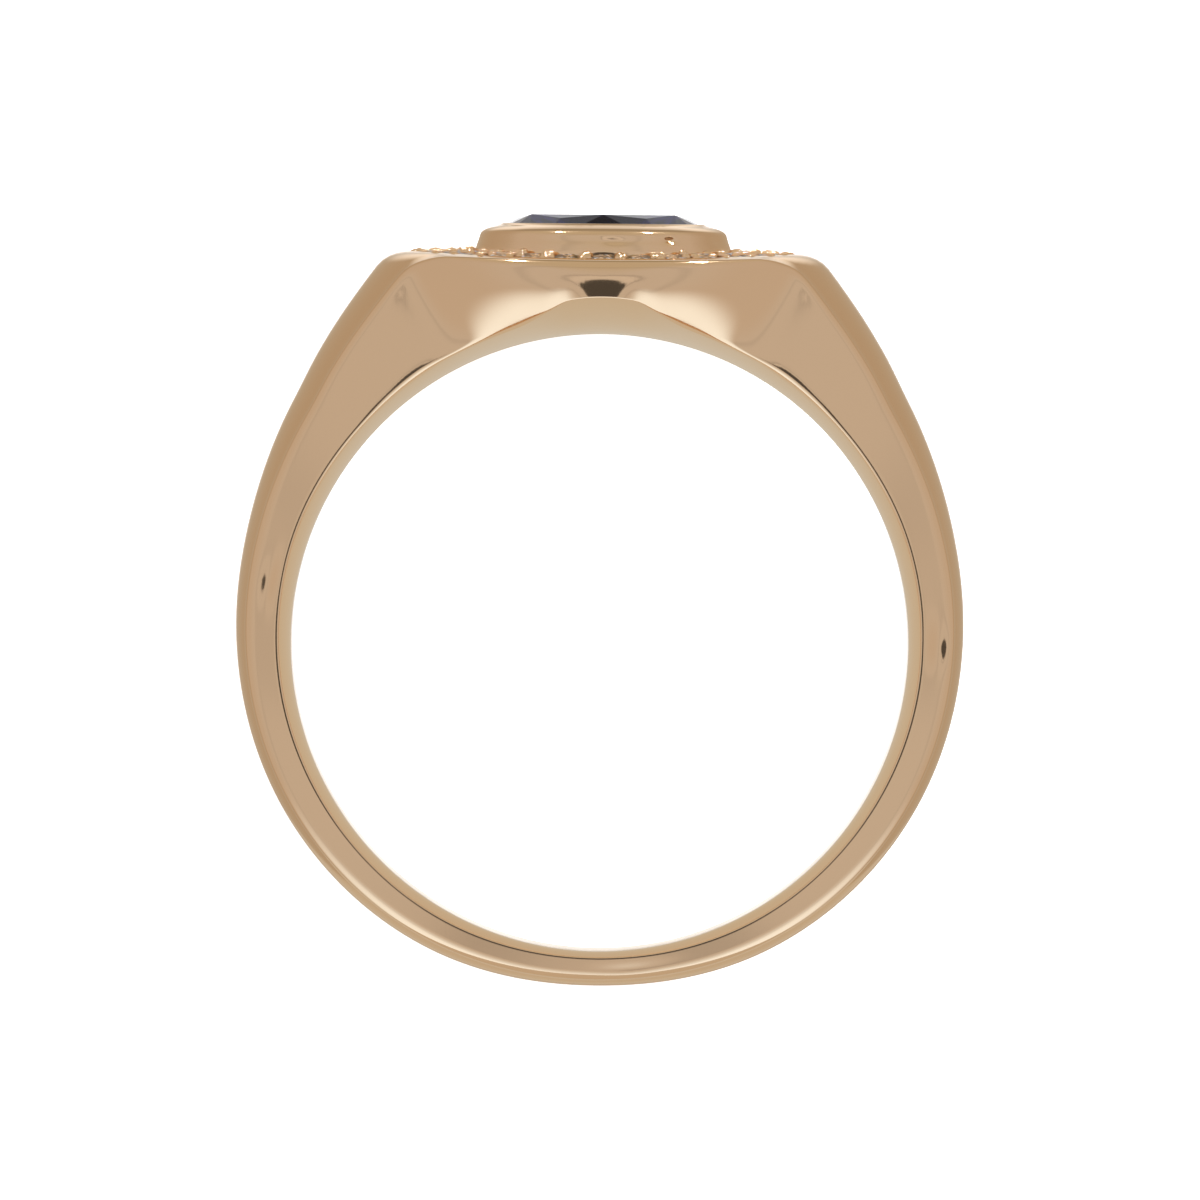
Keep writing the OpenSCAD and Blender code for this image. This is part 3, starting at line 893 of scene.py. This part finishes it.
# %% Camera
CAMERA_DISTANCE = 430
CAMERA_HEIGHT = 12.4
AIM_HEIGHT = 1.26
SENSOR = 36.0
MM_ACROSS_FRAME = 36.04
ROLL = math.radians(0.5)
camera = bpy.data.objects.new("camera", bpy.data.cameras.new("camera"))
bpy.context.scene.collection.objects.link(camera)
camera.location = placed(0, CAMERA_HEIGHT, CAMERA_DISTANCE)
aim = placed(0, AIM_HEIGHT, 0)
back = (camera.location - aim).normalized()
right = headward.cross(back).normalized()
up = back.cross(right)
view = Matrix((right, up, back)).transposed() @ Matrix.Rotation(ROLL, 3, "Z")
camera.matrix_world = Matrix.LocRotScale(camera.location, view, None)
camera.data.sensor_width = SENSOR
camera.data.lens = SENSOR * (camera.location - aim).length / (MM_ACROSS_FRAME * MM)
camera.data.clip_end = 20
bpy.context.scene.camera = camera
print("lens:", round(camera.data.lens, 1), "mm")

# %% [markdown]
# ## Light
# A jeweller's light tent surrounds the ring with soft white cloth, and polished gold shows that tent, so
# the tent is the most important light. It could be a dome with a picture on it. Here it is a world whose
# colour depends on direction alone: warm greys in front and at the sides, browner far round, and bright
# where the cloth behind the ring and under its head is lit.

# %% Helpers for the tent
def towards(tree, look, way):
    """Cosine between the looked-at direction and a fixed one."""
    node = tree.nodes.new("ShaderNodeVectorMath")
    node.operation = "DOT_PRODUCT"
    node.inputs[1].default_value = way
    tree.links.new(look, node.inputs[0])
    return node.outputs["Value"]


def step_between(tree, cosine, from_degrees, to_degrees, low, high):
    """Smoothly from low to high as the angle goes from one to another."""
    node = tree.nodes.new("ShaderNodeMapRange")
    node.interpolation_type = "SMOOTHSTEP"
    node.inputs["From Min"].default_value = math.cos(math.radians(from_degrees))
    node.inputs["From Max"].default_value = math.cos(math.radians(to_degrees))
    node.inputs["To Min"].default_value = low
    node.inputs["To Max"].default_value = high
    tree.links.new(cosine, node.inputs["Value"])
    return node.outputs["Result"]


def calculated(tree, first, second, operation="MULTIPLY"):
    """Two values multiplied, or taken together in another way."""
    node = tree.nodes.new("ShaderNodeMath")
    node.operation = operation
    tree.links.new(first, node.inputs[0])
    tree.links.new(second, node.inputs[1])
    return node.outputs["Value"]


def blended(tree, value, first, second):
    """From one colour to another by a value. The first may come from another node."""
    node = tree.nodes.new("ShaderNodeMix")
    node.data_type = "RGBA"
    tree.links.new(value, node.inputs["Factor"])
    if isinstance(first, tuple):
        node.inputs["A"].default_value = (*first, 1)
    else:
        tree.links.new(first, node.inputs["A"])
    node.inputs["B"].default_value = (*second, 1)
    return node.outputs["Result"]


# %% Walls of the tent
FRONT_WALL, SIDE_WALL, FAR_WALL = (0.66, 0.645, 0.62), (0.645, 0.6, 0.545), (0.545, 0.47, 0.38)
BEHIND, GLOW, TOP_WALL = (1.2, 1.2, 1.22), (1.2, 1.4, 1.6), (0.61, 0.57, 0.46)
LOW_BEHIND = 0.53
HEAD_FRONT = (0, 10.7, 7)

world = bpy.data.worlds.new("tent")
bpy.context.scene.world = world
world.use_nodes = True
tree = world.node_tree
background = tree.nodes["Background"]
look = tree.nodes.new("ShaderNodeTexCoord").outputs["Generated"]
lens_way = (camera.location - placed(*HEAD_FRONT)).normalized()
front = towards(tree, look, lens_way)
backward = towards(tree, look, -headward)
headwards = towards(tree, look, headward)
low_behind = towards(tree, look, (LOW_BEHIND * headward - lens_way).normalized())

# Columns: middle of a part, degrees from it where the part starts and where it is full, paint
parts = (
    (front, 45, 90, SIDE_WALL),
    (front, 100, 135, FAR_WALL),
    (headwards, 66, 28, TOP_WALL),
    (front, 168, 177, BEHIND),
    (low_behind, 20, 8, BEHIND),
    (backward, 60, 22, GLOW),
)
colour = FRONT_WALL
for middle, starts, full, paint in parts:
    colour = blended(tree, step_between(tree, middle, starts, full, 0, 1), colour, paint)
tree.links.new(colour, background.inputs["Color"])
print("parts of the tent:", len(parts) + 1)

# %% [markdown]
# ## Opening for the lens
# The lens looks in through an opening, and its dark reflection is the strongest mark on polished metal.
# A dark disc in front of the ring would show the same, but drawing it into the tent keeps it in its
# place at every distance. The opening is a round one for the lens and a wider one below for its stand,
# with a hemmed rim round both, a faint seam farther out, and a dimmer patch of tent high behind.

# %% Opening, hem and seam
LENS_DARK, HEM_DARK, HEM_BRIGHT, SEAM_DARK, PATCH_DIM = 0.12, 0.55, 1.12, 0.9, 0.66
STAND_LOWER, STAND_ASIDE, HIGH_BEHIND = 9, 8, 1.2

stand_way = Matrix.Rotation(math.radians(STAND_LOWER), 3, across) @ lens_way
# Columns: middle of an opening, degrees from it where the dark starts and where it is full
openings = [(front, 18, 15), (towards(tree, look, stand_way), 19, 16)]
for turn in (-STAND_ASIDE, STAND_ASIDE):
    aside = Matrix.Rotation(math.radians(turn), 3, headward) @ stand_way
    openings.append((towards(tree, look, aside), 17, 14))
opening = step_between(tree, *openings[0], 1.0, LENS_DARK)
for middle, starts, full in openings[1:]:
    opening = calculated(tree, opening, step_between(tree, middle, starts, full, 1.0, LENS_DARK), "MINIMUM")

hem = step_between(tree, front, 29, 27.5, 1.0, HEM_DARK)
past_hem = step_between(tree, front, 27.5, 26, HEM_DARK, HEM_BRIGHT)
marks = calculated(tree, hem, past_hem, "MAXIMUM")
seam = step_between(tree, front, 57, 53, 1.0, SEAM_DARK)
past_seam = step_between(tree, front, 52, 45, SEAM_DARK, 1.0)
marks = calculated(tree, marks, calculated(tree, seam, past_seam, "MAXIMUM"))
high_behind = towards(tree, look, (HIGH_BEHIND * headward - lens_way).normalized())
marks = calculated(tree, marks, step_between(tree, high_behind, 32, 15, 1.0, PATCH_DIM))
tree.links.new(calculated(tree, opening, marks), background.inputs["Strength"])
print("dark openings:", len(openings))

# %% [markdown]
# ## Lamps
# One large soft lamp lights the floor and isn't seen in the gold. Two small ones behind the ring do what
# bare bulbs do in a workshop: their reflections are the bright sparks on the bezel and on the rim.

# %% Lamps
def lamp(name, place, target, size, watts, seen_in_gold):
    """A soft square lamp, which the gold mirrors or not."""
    data = bpy.data.lights.new(name, "AREA")
    data.size = size * MM
    data.energy = watts
    light = bpy.data.objects.new(name, data)
    bpy.context.scene.collection.objects.link(light)
    light.location = placed(*place)
    light.rotation_euler = (light.location - placed(*target)).to_track_quat("Z", "Y").to_euler()
    light.visible_camera = False
    light.visible_glossy = seen_in_gold
    return light


lamp("floor_light", (150, 250, 420), (0, 0, 0), size=400, watts=4.0, seen_in_gold=False)
for side in (-165, 200):
    spark = lamp("spark", (side, 400, -60), (0, 11, 0), size=20, watts=0.7, seen_in_gold=True)
    spark.visible_diffuse = False

# %% [markdown]
# ## Cards
# Two glowing cards that only the gold sees do what the photographer's paper does, as painted reflections.
# A disc across the finger hole stands for the paper inside the ring and glows as if lit by light that the
# gold throws back, so it warms the inner edge. A low grey glowing strip outside the back keeps the bright
# side of the tent off the rounded outer edge there.

# %% Cards
DISC_R, DISC_HEIGHT, DISC_COLOUR = 9.15, -1.2, (0.66, 0.63, 0.56)
STRIP_R, STRIP_LOW, STRIP_HIGH, STRIP_TURN, STRIP_COLOUR = 12.4, -5, 3.2, 62, (0.62, 0.57, 0.49)


def card(piece, colour):
    """Makes a piece a glowing card that is only seen in reflections."""
    paint, _, card_shader = new_material("card_paper")
    # The card glows with its colour, a painted reflection seen only in the gold.
    card_shader.inputs["Base Color"].default_value = (0, 0, 0, 1)
    card_shader.inputs["Emission Color"].default_value = (*colour, 1)
    card_shader.inputs["Emission Strength"].default_value = 1.0
    piece.data.materials.append(paint)
    piece.visible_camera = piece.visible_diffuse = piece.visible_shadow = False
    piece.visible_transmission = piece.visible_volume_scatter = False
    piece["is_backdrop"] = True
    return piece


deselect()
bpy.ops.mesh.primitive_circle_add(vertices=64, radius=DISC_R, fill_type="NGON")
disc = start("card_disc")
for v in disc.data.vertices:
    v.co = placed(v.co.x, v.co.y, DISC_HEIGHT)
card(disc, DISC_COLOUR)

deselect()
bpy.ops.mesh.primitive_grid_add(x_subdivisions=40, y_subdivisions=2, size=1)
strip = start("card_strip")
for v in strip.data.vertices:
    turn = math.radians(2 * STRIP_TURN * v.co.x)
    height = STRIP_LOW + (v.co.y + 0.5) * (STRIP_HIGH - STRIP_LOW) * (1 - (2 * v.co.x) ** 2)
    v.co = placed(STRIP_R * math.sin(turn), -STRIP_R * math.cos(turn), height)
card(strip, STRIP_COLOUR)
print("cards:", disc.name, strip.name)

# %% [markdown]
# ## Check the size and finish
# Both boxes are printed and compared, with how far the visual model stands out of the CAD model's box.
# The visual model must stay inside the CAD model's box.

# %% Sizes and finish
bpy.context.scene.view_settings.view_transform = "Standard"
seen_low, seen_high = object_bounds()
print("visual box in mm:", [round(1000 * (b - a), 3) for a, b in zip(seen_low, seen_high)])
for name, c, d, s, t in zip("xyz", cad_low, cad_high, seen_low, seen_high):
    print(name, "stands out of the CAD box by mm:", round(1000 * max(c - s, t - d, 0), 4))
